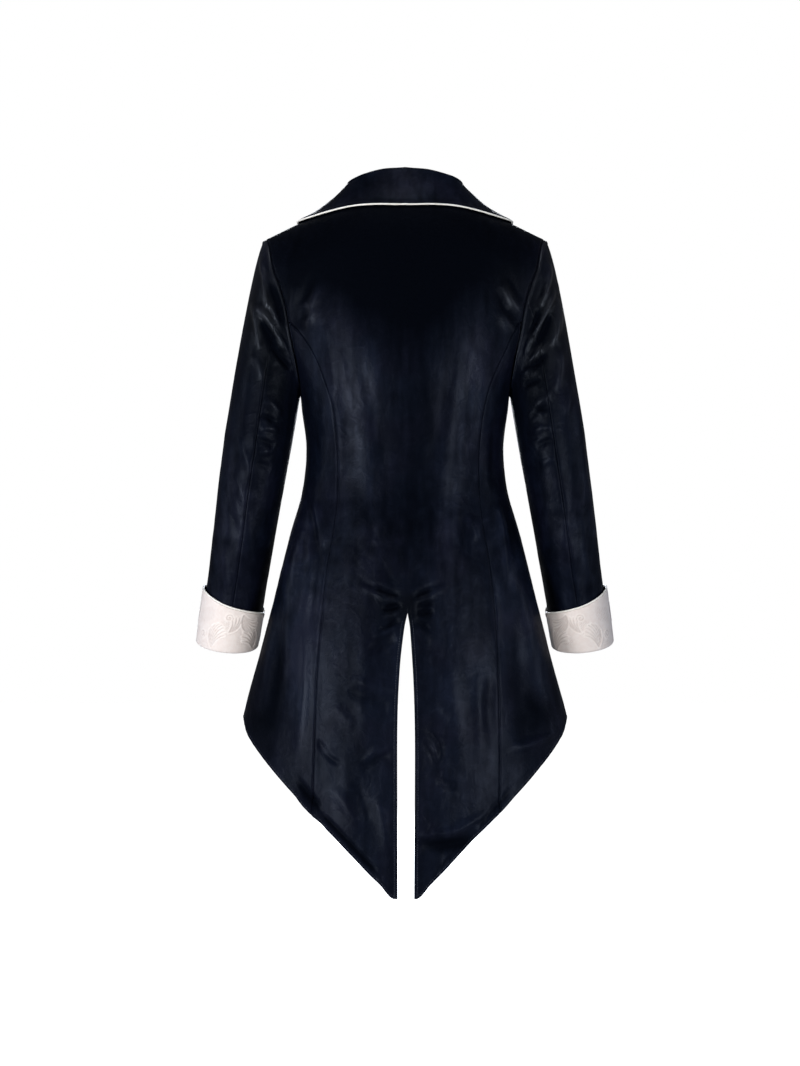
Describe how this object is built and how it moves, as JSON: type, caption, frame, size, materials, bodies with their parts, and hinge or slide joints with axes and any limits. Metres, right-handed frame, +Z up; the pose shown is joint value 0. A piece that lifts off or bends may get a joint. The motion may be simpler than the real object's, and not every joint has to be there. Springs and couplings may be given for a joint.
{
  "type": "pirate tailcoat jacket",
  "caption": "Fitted velvet tailcoat with a broad turned-down collar, pointed tails behind and turned-back pale cuffs, standing filled out as worn.",
  "frame": {"origin": "between the wearer's shoulders at the height of the side of the neck, where the shoulder seams start", "axes": "+Z up, +Y out of the back, +X to the wearer's left"},
  "size_m": [0.5988, 0.2589, 1.0093],
  "materials": {
    "velvet": "cut pile, dark navy",
    "jacquard": "self-coloured woven relief",
    "piping": "smooth satin"
  },
  "bodies": {
    "root": {"back": "velvet", "collar": "velvet", "collar_piping": "piping", "side_back_left": "velvet", "front_left": "velvet", "top_sleeve_left": "velvet", "under_sleeve_left": "velvet", "cuff_left": "jacquard", "cuff_piping_left": "piping", "side_back_right": "velvet", "front_right": "velvet", "top_sleeve_right": "velvet", "under_sleeve_right": "velvet", "cuff_right": "jacquard", "cuff_piping_right": "piping"}
  },
  "joints": []
}
